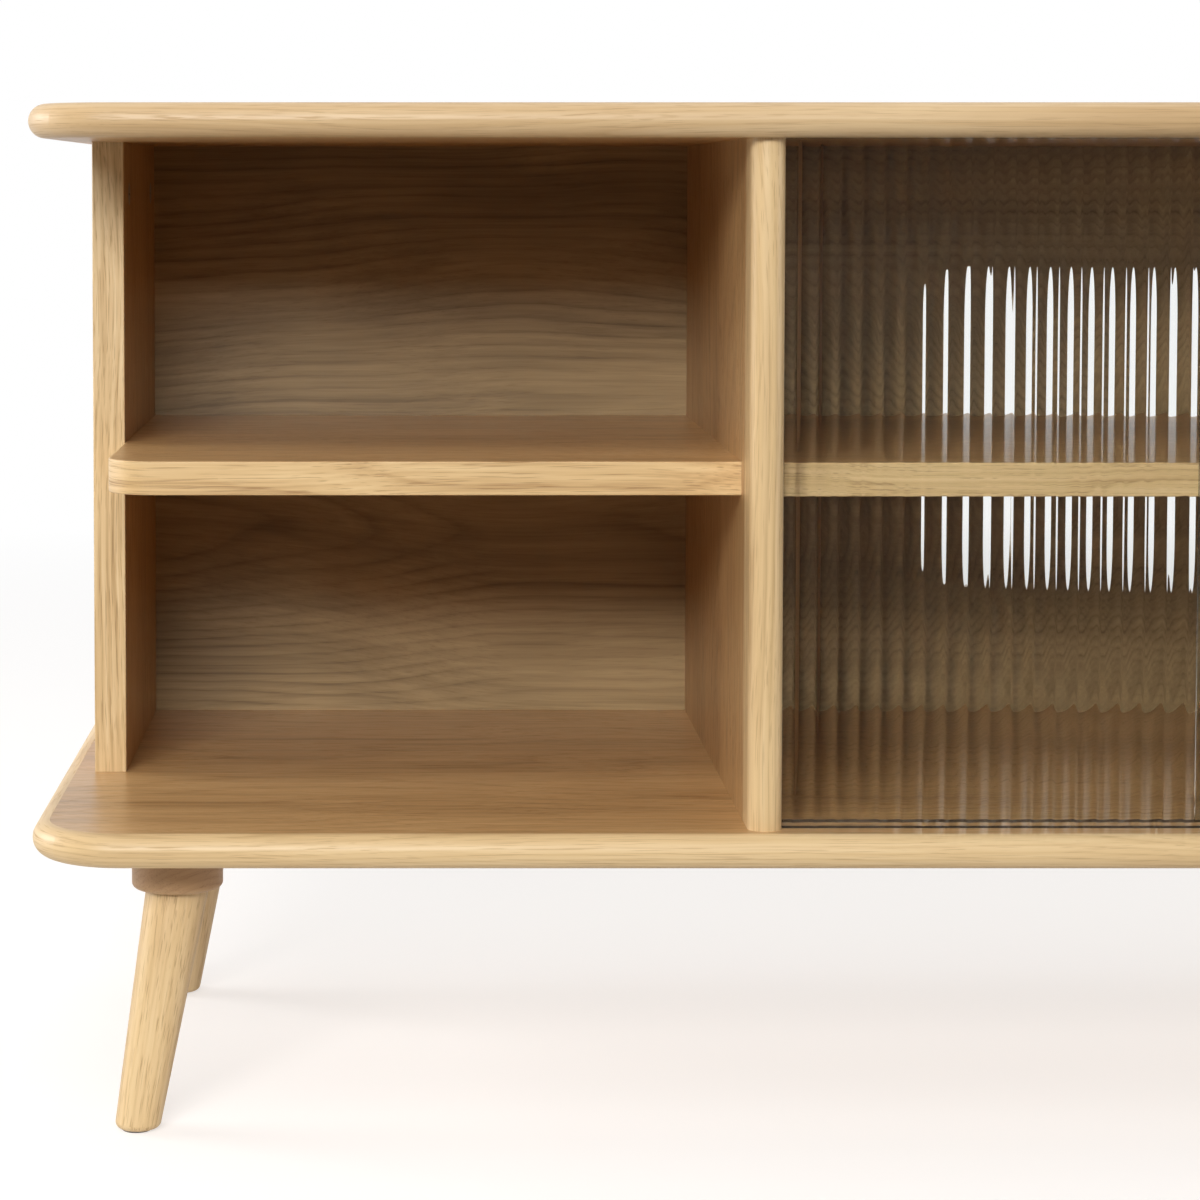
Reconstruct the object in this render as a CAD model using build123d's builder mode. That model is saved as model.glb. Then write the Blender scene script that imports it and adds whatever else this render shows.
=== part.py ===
from build123d import *
import math
import os

# Media cabinet: two boards on four splayed legs, two side panels, two dividers, three
# shelves, and two fluted glass doors that slide past each other in the middle bay.
# Millimetres. The origin is on the floor at the middle of the footprint: X to the right,
# -Y to the front, Z up.

# ---- driving dimensions ----------------------------------------------------------------
WIDTH = 1400.0            # over the boards
DEPTH = 450.0
BOARD = 20.0              # thickness of every board, panel and shelf
CLEAR_HEIGHT = 400.0      # between the bottom and top boards
LEG_HEIGHT = 168.0        # floor to the underside of the bottom board
BOARD_CORNER = 55.0       # plan radius of the boards' corners
LIPPING = 10.0            # solid strip round each board
NOSE = 9.9                # rounding of the lipping, nearly a half round
ARRIS = 0.8               # small rounding of exposed sharp edges
EDGING = 1.5              # thin solid edging on panels and shelves

SIDE_OVERHANG = 22.0      # board end to the side panel's outer face
SIDE_BAY = 376.0          # clear width of each open bay
SIDE_FRONT = -27.0        # front edge of the side panels
DIVIDER_FRONT = -211.0    # front of the dividers' rounded nosing
NOSING_DEPTH = 33.0
TONGUE = 6.0              # nosing's tongue, width and length
BACK_FACE = 206.0         # front face of the back panels
BACK_PANEL = 8.0
REBATE = 10.0             # width of the side panels' rebate for the back panel
SIDE_SHELF_FRONT = -161.0
CENTRE_SHELF_FRONT = -167.0
SHELF_CORNER = 29.0
CABLE_SLOT = (78.0, 230.0)

LEG_TOP_INSET = 83.0      # board edge to the leg's axis, at the collar
LEG_FOOT_INSET = 60.0     # board edge to the leg's axis, at the floor
BACK_LEG_SETBACK = (2.0, 13.0)      # how much further in the back legs stand, in X and Y
LEG_TOP_RADIUS = 18.7
LEG_FOOT_RADIUS = 13.3
COLLAR_RADIUS = 27.3
COLLAR_HEIGHT = 27.0
COLLAR_ROUND = 3.0
FOOT_ROUND = 4.0
GLIDE_RADIUS = 8.5
GLIDE_HEIGHT = 1.0
GLIDE_NAIL = (1.5, 14.0)  # radius, length

FRONT_TRACK = -196.0      # middle of each door's groove
REAR_TRACK = -178.0
GROOVE_WIDTH = 9.0
TOP_GROOVE = 14.5         # deep enough to lift a door out of the bottom groove
BOTTOM_GROOVE = 5.5
LINER_WALL = 0.9
LINER_BASE = 1.5
LINER_GAP = 0.05          # liner to groove, each side

GLASS = 6.0               # pane thickness over the ridges
FLUTE_PITCH = 12.65
FLUTE_COUNT = 22
FLUTE_RADIUS = 11.0
FLUTE_HALF = 4.1          # half width of the hollow
RIDGE_RADIUS = 3.0
DOOR_LIFT = 0.2           # running gap over the track's base
DOOR_ENTRY = 7.5          # how far the pane stands into the top groove

CAM_RADIUS = 7.4
CAM_DEPTH = 12.5
CAM_DROP = 33.0           # cam centre below the top board
CAM_SETBACK = 39.0        # cam centre from a panel's front and back edge
CAM_POCKET_SPARE = 1.0    # free depth behind a housing
CAM_BORE = 4.0            # radius of the bolt's way into the cam
CAM_CROSS = (3.0, 9.0, 1.6)         # depth, length and width of the driver slots
CAM_BOLT_RADIUS = 2.6
CAM_BOLT_ENTRY = 10.0     # thread in the top board
CAM_HEAD_RADIUS = 3.4     # ball head and shoulder
CAM_SHOULDER = 9.0        # ball centre to the shoulder's start
DOWEL = (4.0, 30.0)       # radius, length
DOWEL_IN_BOARD = 12.0
SHELF_DOWEL = (4.0, 22.0)
SHELF_DOWEL_IN_PANEL = 9.0
PANEL_SCREW = (3.5, 50.0, 5.0)      # shank radius, length, head radius
COLLAR_SCREW = (2.0, 38.0, 3.8)
BACK_SCREW = (1.75, 16.0, 3.5)
COLLAR_SCREW_CIRCLE = 12.5
BOLT_RADIUS = 3.95        # hanger bolt
BOLT_IN_LEG = 30.0
INSERT_RADIUS = 5.5
INSERT_SPAN = (2.0, 20.0)  # along the leg's axis, from the collar's underside
BOLT_END_GAP = 1.0        # free length past each end of a hanger bolt
BOLT_HOLE_SPARE = 9.0     # how far the leg's and collar's bores are cut past the joint
BACK_SCREW_INSET = 30.0   # outermost back screws from the boards
SHELF_SCREW_INSET = 90.0  # screws into a shelf from its ends
BACK_SIDE_GAP = 0.5       # back panel to what stands beside it
TONGUE_GAP = 0.5          # nosing's tongue to the bottom of its groove
TRACK_END_GAP = 0.5       # track to each divider
FIT = 0.1                 # radial clearance of hidden fixings

# ---- worked-out places -----------------------------------------------------------------
BOTTOM_Z = LEG_HEIGHT
FLOOR_Z = BOTTOM_Z + BOARD            # upper face of the bottom board
CEILING_Z = FLOOR_Z + CLEAR_HEIGHT    # underside of the top board
TOP_Z = CEILING_Z + BOARD
SIDE_IN = WIDTH / 2 - SIDE_OVERHANG - BOARD       # inner face of a side panel
SIDE_MID = SIDE_IN + BOARD / 2
DIVIDER_OUT = SIDE_IN - SIDE_BAY
DIVIDER_IN = DIVIDER_OUT - BOARD
DIVIDER_MID = DIVIDER_OUT - BOARD / 2
BACK_REAR = BACK_FACE + BACK_PANEL
PANEL_FRONT = DIVIDER_FRONT + NOSING_DEPTH        # where the nosing ends
SHELF_Z = FLOOR_Z + CLEAR_HEIGHT / 2              # middle of each shelf
SHELF_LOW = SHELF_Z - BOARD / 2
SHELF_HIGH = SHELF_Z + BOARD / 2
COLLAR_Z = BOTTOM_Z - COLLAR_HEIGHT               # underside of the collars
TRACK_HALF = DIVIDER_IN - TRACK_END_GAP
PANE_WIDTH = FLUTE_COUNT * FLUTE_PITCH
PANE_LOW = FLOOR_Z - BOTTOM_GROOVE + LINER_BASE + DOOR_LIFT
PANE_HIGH = CEILING_Z + DOOR_ENTRY

SIDES = {"left": -1, "right": 1}
ENDS = {"front": -1, "back": 1}
TRACKS = {"front": FRONT_TRACK, "rear": REAR_TRACK}
BASE = (Align.CENTER, Align.CENTER, Align.MIN)

# Fixings of an upright: middle plane, Y of the two cams and screws, Y of the two dowels.
UPRIGHTS = {
    "side": (SIDE_MID, (SIDE_FRONT + CAM_SETBACK, BACK_REAR - CAM_SETBACK), (60.0, 130.0)),
    "divider": (DIVIDER_MID, (PANEL_FRONT + CAM_SETBACK, BACK_FACE - CAM_SETBACK), (-60.0, 80.0)),
}

# Shelf dowels: the contact plane, the way into the upright, and the Y of each dowel.
SHELF_JOINTS = {
    "side": ((SIDE_IN, 1, (20.0, 150.0)), (DIVIDER_OUT, -1, (-100.0, 150.0))),
    "centre": ((DIVIDER_IN, 1, (-70.0, 120.0)),),
}

BACK_SCREW_PITCH = (CLEAR_HEIGHT - 2 * BACK_SCREW_INSET) / 3
BACK_SCREW_ROWS = [FLOOR_Z + BACK_SCREW_INSET + i * BACK_SCREW_PITCH for i in range(4)]
BACK_SCREW_COLUMNS = (SIDE_IN + REBATE / 2, DIVIDER_OUT - REBATE / 2, DIVIDER_IN + REBATE / 2)
SHELF_SCREW_COLUMNS = (SIDE_IN - SHELF_SCREW_INSET, DIVIDER_OUT + SHELF_SCREW_INSET,
                       DIVIDER_IN - SHELF_SCREW_INSET)

os.makedirs("parts", exist_ok=True)


# ---- helpers that add to, or cut from, the part being built ------------------------------
def block(low, high, mode=Mode.ADD):
    """Rectangular block between two opposite corners, given in any order."""
    centre = tuple((a + b) / 2 for a, b in zip(low, high))
    size = tuple(abs(b - a) for a, b in zip(low, high))
    with Locations(centre):
        Box(*size, mode=mode)


def rod(start, direction, radius, length, mode=Mode.ADD):
    """Cylinder from a start point along a direction."""
    with Locations(Plane(origin=start, z_dir=direction)):
        Cylinder(radius, length, align=BASE, mode=mode)


def screw(head_centre, direction, sizes, gap=0.0, mode=Mode.ADD):
    """Countersunk screw whose flat head lies at head_centre; a gap makes it a hole."""
    shank, length, head = sizes
    with Locations(Plane(origin=head_centre, z_dir=direction)):
        Cylinder(shank + gap, length + gap, align=BASE, mode=mode)
        Cone(head + gap, shank + gap, head - shank, align=BASE, mode=mode)


def save(piece, name):
    """Label a finished piece and write it to its own STEP file."""
    piece.part.label = name
    export_step(piece.part, f"parts/{name}.step")


# ---- fixings shared by the pieces that hold them -----------------------------------------
def panel_dowels(gap=0.0, mode=Mode.ADD):
    """Dowels at the foot and head of every upright."""
    radius, length = DOWEL
    for middle, _, places in UPRIGHTS.values():
        for side in SIDES.values():
            for y in places:
                foot = (side * middle, y, FLOOR_Z - DOWEL_IN_BOARD - gap)
                head = (side * middle, y, CEILING_Z + DOWEL_IN_BOARD + gap)
                rod(foot, (0, 0, 1), radius + gap, length + 2 * gap, mode)
                rod(head, (0, 0, -1), radius + gap, length + 2 * gap, mode)


def panel_screws(gap=0.0, mode=Mode.ADD):
    """Long screws up through the bottom board into every upright."""
    for middle, places, _ in UPRIGHTS.values():
        for side in SIDES.values():
            for y in places:
                screw((side * middle, y, BOTTOM_Z), (0, 0, 1), PANEL_SCREW, gap, mode)


def cam_bolts(gap=0.0, mode=Mode.ADD):
    """Bolts screwed up into the top board, each with a ball head inside its cam."""
    for middle, places, _ in UPRIGHTS.values():
        for side in SIDES.values():
            for y in places:
                ball = (side * middle, y, CEILING_Z - CAM_DROP)
                shoulder = (side * middle, y, CEILING_Z - CAM_DROP + CAM_SHOULDER)
                rod(ball, (0, 0, 1), CAM_BOLT_RADIUS + gap, CAM_DROP + CAM_BOLT_ENTRY, mode)
                rod(shoulder, (0, 0, 1), CAM_HEAD_RADIUS + gap, CAM_DROP - CAM_SHOULDER, mode)
                with Locations(ball):
                    Sphere(CAM_HEAD_RADIUS + gap, mode=mode)


def cam_places():
    """Face centre and drilling direction of every cam housing."""
    for middle, places, _ in UPRIGHTS.values():
        for side in SIDES.values():
            for y in places:
                face = (side * (middle - BOARD / 2), y, CEILING_Z - CAM_DROP)
                yield face, (side, 0, 0)


def cam_pockets():
    """Blind pockets for the cam housings and the bolts' way down to them."""
    for face, direction in cam_places():
        rod(face, direction, CAM_RADIUS + FIT, CAM_DEPTH + CAM_POCKET_SPARE, Mode.SUBTRACT)
        middle = (face[0] + direction[0] * BOARD / 2, face[1], face[2])
        rod(middle, (0, 0, 1), CAM_BORE, CAM_DROP, Mode.SUBTRACT)


def shelf_dowels(gap=0.0, mode=Mode.ADD):
    """Dowels between the shelves' ends and the uprights."""
    radius, length = SHELF_DOWEL
    for joints in SHELF_JOINTS.values():
        for plane, inward, places in joints:
            for side in SIDES.values():
                for y in places:
                    start = side * (plane + inward * (SHELF_DOWEL_IN_PANEL + gap))
                    direction = (-side * inward, 0, 0)
                    rod((start, y, SHELF_Z), direction, radius + gap, length + 2 * gap, mode)


def back_screws(gap=0.0, mode=Mode.ADD):
    """Screws through the back panels into the uprights and the shelves."""
    places = [(x, z) for x in BACK_SCREW_COLUMNS for z in BACK_SCREW_ROWS]
    places += [(x, SHELF_Z) for x in SHELF_SCREW_COLUMNS]
    for x, z in places:
        for side in SIDES.values():
            screw((side * x, BACK_REAR, z), (0, -1, 0), BACK_SCREW, gap, mode)


def leg_place(side, end, inset):
    """Centre of a leg where it stands that far in from the board's edges."""
    more_x, more_y = BACK_LEG_SETBACK if end > 0 else (0.0, 0.0)
    return side * (WIDTH / 2 - inset - more_x), end * (DEPTH / 2 - inset - more_y)


def leg_axis(side, end):
    """Plane at a leg's top centre, whose Z runs up along the leg's axis."""
    top = Vector(*leg_place(side, end, LEG_TOP_INSET), COLLAR_Z)
    foot = Vector(*leg_place(side, end, LEG_FOOT_INSET), 0)
    return Plane(origin=top, z_dir=(top - foot).normalized())


def collar_screws(side, end, gap=0.0, mode=Mode.ADD):
    """Three screws up through a collar, hidden by the leg's top."""
    inward = math.degrees(math.atan2(-end, -side))
    middle_x, middle_y = leg_place(side, end, LEG_TOP_INSET)
    for turn in (60, 180, 300):
        angle = math.radians(inward + turn)
        x = middle_x + COLLAR_SCREW_CIRCLE * math.cos(angle)
        y = middle_y + COLLAR_SCREW_CIRCLE * math.sin(angle)
        screw((x, y, COLLAR_Z), (0, 0, 1), COLLAR_SCREW, gap, mode)


# ---- boards ------------------------------------------------------------------------------
def board_core(low):
    """Veneered core of a board, inside its lipping."""
    with BuildPart() as core:
        with BuildSketch(Plane.XY.offset(low)):
            RectangleRounded(WIDTH - 2 * LIPPING, DEPTH - 2 * LIPPING, BOARD_CORNER - LIPPING)
        extrude(amount=BOARD)
        panel_dowels(FIT, Mode.SUBTRACT)
        if low == BOTTOM_Z:
            panel_screws(FIT, Mode.SUBTRACT)
            for side in SIDES.values():
                for end in ENDS.values():
                    collar_screws(side, end, FIT, Mode.SUBTRACT)
            groove_low, groove_high = FLOOR_Z - BOTTOM_GROOVE, FLOOR_Z
        else:
            cam_bolts(FIT, Mode.SUBTRACT)
            groove_low, groove_high = CEILING_Z, CEILING_Z + TOP_GROOVE
        for middle in TRACKS.values():
            near = (-TRACK_HALF, middle - GROOVE_WIDTH / 2, groove_low)
            far = (TRACK_HALF, middle + GROOVE_WIDTH / 2, groove_high)
            block(near, far, Mode.SUBTRACT)
    return core


def lipping_sector(where):
    """Outline of one lipping strip's share of the board, mitred at the corners."""
    x, y = WIDTH / 2 - BOARD_CORNER, DEPTH / 2 - BOARD_CORNER
    reach = 2 * BOARD_CORNER
    corners = {
        "front": [(-x, -y), (-x - reach, -y - reach), (x + reach, -y - reach), (x, -y)],
        "back": [(-x, y), (x, y), (x + reach, y + reach), (-x - reach, y + reach)],
        "left": [(-x, -y), (-x, y), (-x - reach, y + reach), (-x - reach, -y - reach)],
        "right": [(x, -y), (x + reach, -y - reach), (x + reach, y + reach), (x, y)],
    }
    return corners[where]


def board_lipping(low, where):
    """One solid strip of a board's lipping, with its rounded nose."""
    with BuildPart() as strip:
        with BuildSketch(Plane.XY.offset(low)):
            RectangleRounded(WIDTH, DEPTH, BOARD_CORNER)
        extrude(amount=BOARD)
        faces = strip.faces().sort_by(Axis.Z)
        fillet(faces[-1].edges() + faces[0].edges(), radius=NOSE)
        with BuildSketch(Plane.XY.offset(low)):
            RectangleRounded(WIDTH - 2 * LIPPING, DEPTH - 2 * LIPPING, BOARD_CORNER - LIPPING)
        extrude(amount=BOARD, mode=Mode.SUBTRACT)
        with BuildSketch(Plane.XY.offset(low)):
            with BuildLine():
                Polyline(*lipping_sector(where), close=True)
            make_face()
        extrude(amount=BOARD, mode=Mode.INTERSECT)
    return strip


for board_name, board_low in {"bottom": BOTTOM_Z, "top": CEILING_Z}.items():
    save(board_core(board_low), f"{board_name}_panel")
    for strip_name in ("front", "back", "left", "right"):
        save(board_lipping(board_low, strip_name), f"{board_name}_{strip_name}_lipping")


# ---- uprights ----------------------------------------------------------------------------
def side_panel(side):
    """Side panel behind its front edging, rebated for the back panel."""
    with BuildPart() as panel:
        outer = (side * (SIDE_IN + BOARD), SIDE_FRONT + EDGING, FLOOR_Z)
        block(outer, (side * SIDE_IN, BACK_REAR, CEILING_Z))
        rebate = (side * SIDE_IN, BACK_FACE, FLOOR_Z)
        block(rebate, (side * (SIDE_IN + REBATE), BACK_REAR, CEILING_Z), Mode.SUBTRACT)
        panel_dowels(FIT, Mode.SUBTRACT)
        panel_screws(FIT, Mode.SUBTRACT)
        shelf_dowels(FIT, Mode.SUBTRACT)
        back_screws(FIT, Mode.SUBTRACT)
        cam_pockets()
    return panel


def side_edging(side):
    """Thin solid strip on a side panel's front edge."""
    with BuildPart() as edging:
        outer = (side * (SIDE_IN + BOARD), SIDE_FRONT, FLOOR_Z)
        block(outer, (side * SIDE_IN, SIDE_FRONT + EDGING, CEILING_Z))
        front_face = edging.faces().sort_by(Axis.Y)[0]
        fillet(front_face.edges().filter_by(Axis.Z), radius=ARRIS)
    return edging


def divider_panel(side):
    """Divider behind its nosing, grooved for the nosing's tongue."""
    with BuildPart() as panel:
        outer = (side * DIVIDER_OUT, PANEL_FRONT, FLOOR_Z)
        block(outer, (side * DIVIDER_IN, BACK_FACE, CEILING_Z))
        half = TONGUE / 2 + FIT
        middle = side * DIVIDER_MID
        groove_end = (middle + half, PANEL_FRONT + TONGUE + TONGUE_GAP, CEILING_Z)
        block((middle - half, PANEL_FRONT, FLOOR_Z), groove_end, Mode.SUBTRACT)
        panel_dowels(FIT, Mode.SUBTRACT)
        panel_screws(FIT, Mode.SUBTRACT)
        shelf_dowels(FIT, Mode.SUBTRACT)
        back_screws(FIT, Mode.SUBTRACT)
        cam_pockets()
    return panel


def divider_nosing(side):
    """Solid strip with a half-round front and a tongue at the back."""
    middle = side * DIVIDER_MID
    half = BOARD / 2
    with BuildPart() as nosing:
        with BuildSketch(Plane.XY.offset(FLOOR_Z)):
            with BuildLine():
                shoulder = DIVIDER_FRONT + half
                Polyline((middle - half, shoulder), (middle - half, PANEL_FRONT),
                         (middle + half, PANEL_FRONT), (middle + half, shoulder))
                ThreePointArc((middle + half, shoulder), (middle, DIVIDER_FRONT),
                              (middle - half, shoulder))
            make_face()
        extrude(amount=CLEAR_HEIGHT)
        tongue_start = (middle - TONGUE / 2, PANEL_FRONT, FLOOR_Z)
        block(tongue_start, (middle + TONGUE / 2, PANEL_FRONT + TONGUE, CEILING_Z))
    return nosing


for side_name, side_sign in SIDES.items():
    save(side_panel(side_sign), f"{side_name}_side_panel")
    save(side_edging(side_sign), f"{side_name}_side_edging")
    save(divider_panel(side_sign), f"{side_name}_divider_panel")
    save(divider_nosing(side_sign), f"{side_name}_divider_nosing")


# ---- shelves -----------------------------------------------------------------------------
def side_shelf_core(side):
    """Shelf of an open bay, inside its edging: its outer front corner is rounded."""
    inner_edge = SIDE_IN - EDGING
    radius = SHELF_CORNER - EDGING
    front = SIDE_SHELF_FRONT + EDGING
    with BuildPart() as shelf:
        with BuildSketch(Plane.XY.offset(SHELF_LOW)):
            with BuildLine():
                Polyline((side * DIVIDER_OUT, front), (side * DIVIDER_OUT, BACK_FACE),
                         (side * SIDE_IN, BACK_FACE), (side * SIDE_IN, SIDE_FRONT),
                         (side * inner_edge, SIDE_FRONT), (side * inner_edge, front + radius))
                RadiusArc((side * inner_edge, front + radius),
                          (side * (inner_edge - radius), front), side * radius)
                Line((side * (inner_edge - radius), front), (side * DIVIDER_OUT, front))
            make_face()
        extrude(amount=BOARD)
        shelf_dowels(FIT, Mode.SUBTRACT)
        back_screws(FIT, Mode.SUBTRACT)
    return shelf


def side_shelf_edging(side):
    """Edging along the shelf's front, round its corner and back to the side panel."""
    front = SIDE_SHELF_FRONT
    corner_y = front + SHELF_CORNER
    corner_x = SIDE_IN - SHELF_CORNER
    thin = SHELF_CORNER - EDGING
    with BuildPart() as edging:
        with BuildSketch(Plane.XY.offset(SHELF_LOW)):
            with BuildLine():
                Line((side * DIVIDER_OUT, front), (side * corner_x, front))
                RadiusArc((side * corner_x, front), (side * SIDE_IN, corner_y),
                          -side * SHELF_CORNER)
                Polyline((side * SIDE_IN, corner_y), (side * SIDE_IN, SIDE_FRONT),
                         (side * (SIDE_IN - EDGING), SIDE_FRONT),
                         (side * (SIDE_IN - EDGING), corner_y))
                RadiusArc((side * (SIDE_IN - EDGING), corner_y),
                          (side * corner_x, front + EDGING), side * thin)
                Polyline((side * corner_x, front + EDGING),
                         (side * DIVIDER_OUT, front + EDGING), (side * DIVIDER_OUT, front))
            make_face()
        extrude(amount=BOARD)
        rims = edging.faces().filter_by(Axis.Z).edges()
        outside = rims.filter_by(lambda e: on_shelf_outline(e, side))
        fillet(outside, radius=ARRIS)
    return edging


def on_shelf_outline(edge, side):
    """True for an edge that lies on the shelf's exposed outline."""
    spot = edge @ 0.5
    x = side * spot.X
    on_front = abs(spot.Y - SIDE_SHELF_FRONT) < ARRIS / 2
    on_end = abs(x - SIDE_IN) < ARRIS / 2
    centre = (SIDE_IN - SHELF_CORNER, SIDE_SHELF_FRONT + SHELF_CORNER)
    on_corner = abs(math.dist((x, spot.Y), centre) - SHELF_CORNER) < ARRIS / 2
    return on_front or on_end or on_corner


def centre_shelf_core():
    """Shelf of the glazed bay, behind its edging."""
    with BuildPart() as shelf:
        near = (-DIVIDER_IN, CENTRE_SHELF_FRONT + EDGING, SHELF_LOW)
        block(near, (DIVIDER_IN, BACK_FACE, SHELF_HIGH))
        shelf_dowels(FIT, Mode.SUBTRACT)
        back_screws(FIT, Mode.SUBTRACT)
    return shelf


def centre_shelf_edging():
    """Thin solid strip on the centre shelf's front."""
    with BuildPart() as edging:
        near = (-DIVIDER_IN, CENTRE_SHELF_FRONT, SHELF_LOW)
        block(near, (DIVIDER_IN, CENTRE_SHELF_FRONT + EDGING, SHELF_HIGH))
        front_face = edging.faces().sort_by(Axis.Y)[0]
        fillet(front_face.edges().filter_by(Axis.X), radius=ARRIS)
    return edging


for side_name, side_sign in SIDES.items():
    save(side_shelf_core(side_sign), f"{side_name}_shelf")
    save(side_shelf_edging(side_sign), f"{side_name}_shelf_edging")
save(centre_shelf_core(), "centre_shelf")
save(centre_shelf_edging(), "centre_shelf_edging")


# ---- back panels -------------------------------------------------------------------------
def back_panel(x_low, x_high):
    """Thin panel between the boards, drilled for its screws."""
    with BuildPart() as panel:
        near = (x_low + BACK_SIDE_GAP, BACK_FACE, FLOOR_Z)
        block(near, (x_high - BACK_SIDE_GAP, BACK_REAR, CEILING_Z))
        back_screws(FIT, Mode.SUBTRACT)
    return panel


def centre_back_panel():
    """Back of the glazed bay, with a tall rounded slot for cables."""
    slot_width, slot_height = CABLE_SLOT
    reach = DIVIDER_MID - BACK_SIDE_GAP
    with BuildPart() as panel:
        block((-reach, BACK_FACE, FLOOR_Z), (reach, BACK_REAR, CEILING_Z))
        with BuildSketch(Plane(origin=(0, BACK_REAR, SHELF_Z), x_dir=(1, 0, 0), z_dir=(0, -1, 0))):
            SlotOverall(slot_height, slot_width, rotation=90)
        extrude(amount=BACK_PANEL, mode=Mode.SUBTRACT)
        back_screws(FIT, Mode.SUBTRACT)
    return panel


save(back_panel(-SIDE_IN - REBATE, -DIVIDER_MID), "left_back_panel")
save(back_panel(DIVIDER_MID, SIDE_IN + REBATE), "right_back_panel")
save(centre_back_panel(), "centre_back_panel")


# ---- legs and collars ----------------------------------------------------------------------
def leg(side, end):
    """Turned, tapered leg on a splayed axis, cut level at the collar and the foot."""
    axis = leg_axis(side, end)
    span = COLLAR_Z / abs(axis.z_dir.Z)
    spare = 15.0
    slope = (LEG_TOP_RADIUS - LEG_FOOT_RADIUS) / span
    with BuildPart() as piece:
        with BuildSketch(axis.offset(-span - spare)):
            Circle(LEG_FOOT_RADIUS - slope * spare)
        with BuildSketch(axis.offset(spare)):
            Circle(LEG_TOP_RADIUS + slope * spare)
        loft()
        split(bisect_by=Plane.XY.offset(COLLAR_Z), keep=Keep.BOTTOM)
        split(bisect_by=Plane.XY.offset(GLIDE_HEIGHT), keep=Keep.TOP)
        foot_rim = piece.faces().sort_by(Axis.Z)[0].edges()
        fillet(foot_rim, radius=FOOT_ROUND)
        hole_length = BOLT_END_GAP + BOLT_IN_LEG + BOLT_HOLE_SPARE
        with Locations(axis.offset(-BOLT_IN_LEG - BOLT_END_GAP)):
            Cylinder(BOLT_RADIUS + FIT, hole_length, align=BASE, mode=Mode.SUBTRACT)
        foot = (*leg_place(side, end, LEG_FOOT_INSET), 0)
        nail_radius, nail_length = GLIDE_NAIL
        rod(foot, (0, 0, 1), nail_radius + FIT, nail_length + GLIDE_HEIGHT + FIT, Mode.SUBTRACT)
    return piece


def collar(side, end):
    """Round block under the bottom board that the leg screws into."""
    axis = leg_axis(side, end)
    with BuildPart() as piece:
        middle = leg_place(side, end, LEG_TOP_INSET)
        rod((*middle, COLLAR_Z), (0, 0, 1), COLLAR_RADIUS, COLLAR_HEIGHT)
        fillet(piece.faces().sort_by(Axis.Z)[0].edges(), radius=COLLAR_ROUND)
        bore_length = BOLT_HOLE_SPARE + INSERT_SPAN[1] + BOLT_END_GAP
        with Locations(axis.offset(-BOLT_HOLE_SPARE)):
            Cylinder(INSERT_RADIUS + FIT, bore_length, align=BASE, mode=Mode.SUBTRACT)
        collar_screws(side, end, FIT, Mode.SUBTRACT)
    return piece


CORNERS = [(s, e) for s in SIDES for e in ENDS]
for side_name, end_name in CORNERS:
    save(leg(SIDES[side_name], ENDS[end_name]), f"{end_name}_{side_name}_leg")
    save(collar(SIDES[side_name], ENDS[end_name]), f"{end_name}_{side_name}_collar")

with BuildPart() as inserts:
    for side_name, end_name in CORNERS:
        insert_axis = leg_axis(SIDES[side_name], ENDS[end_name])
        insert_length = INSERT_SPAN[1] - INSERT_SPAN[0]
        with Locations(insert_axis.offset(INSERT_SPAN[0])):
            Cylinder(INSERT_RADIUS, insert_length, align=BASE)
            Cylinder(BOLT_RADIUS + FIT, insert_length, align=BASE, mode=Mode.SUBTRACT)
save(inserts, "threaded_inserts")

with BuildPart() as bolts:
    for side_name, end_name in CORNERS:
        bolt_axis = leg_axis(SIDES[side_name], ENDS[end_name])
        with Locations(bolt_axis.offset(-BOLT_IN_LEG)):
            Cylinder(BOLT_RADIUS, BOLT_IN_LEG + INSERT_SPAN[1] - BOLT_END_GAP, align=BASE)
save(bolts, "hanger_bolts")

with BuildPart() as fixings:
    for side_name, end_name in CORNERS:
        collar_screws(SIDES[side_name], ENDS[end_name])
save(fixings, "collar_screws")

with BuildPart() as glides:
    for side_name, end_name in CORNERS:
        foot_spot = (*leg_place(SIDES[side_name], ENDS[end_name], LEG_FOOT_INSET), 0)
        rod(foot_spot, (0, 0, 1), GLIDE_RADIUS, GLIDE_HEIGHT)
        rod(foot_spot, (0, 0, 1), GLIDE_NAIL[0], GLIDE_NAIL[1] + GLIDE_HEIGHT)
save(glides, "foot_glides")


# ---- hidden fixings --------------------------------------------------------------------------
with BuildPart() as housings:
    for cam_face, cam_direction in cam_places():
        rod(cam_face, cam_direction, CAM_RADIUS, CAM_DEPTH)
        cam_middle = (cam_face[0] + cam_direction[0] * BOARD / 2, cam_face[1], cam_face[2])
        rod(cam_middle, (0, 0, 1), CAM_BORE, 2 * CAM_RADIUS, Mode.SUBTRACT)
        slot_depth, slot_length, slot_width = CAM_CROSS
        with Locations(cam_middle):
            Sphere(CAM_BORE, mode=Mode.SUBTRACT)
        with Locations(cam_face):
            Box(slot_depth, slot_length, slot_width, mode=Mode.SUBTRACT)
            Box(slot_depth, slot_width, slot_length, mode=Mode.SUBTRACT)
save(housings, "cam_housings")

with BuildPart() as cam_bolt_set:
    cam_bolts()
save(cam_bolt_set, "cam_bolts")

with BuildPart() as panel_dowel_set:
    panel_dowels()
save(panel_dowel_set, "panel_dowels")

with BuildPart() as shelf_dowel_set:
    shelf_dowels()
save(shelf_dowel_set, "shelf_dowels")

with BuildPart() as panel_screw_set:
    panel_screws()
save(panel_screw_set, "panel_screws")

with BuildPart() as back_screw_set:
    back_screws()
save(back_screw_set, "back_panel_screws")


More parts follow.
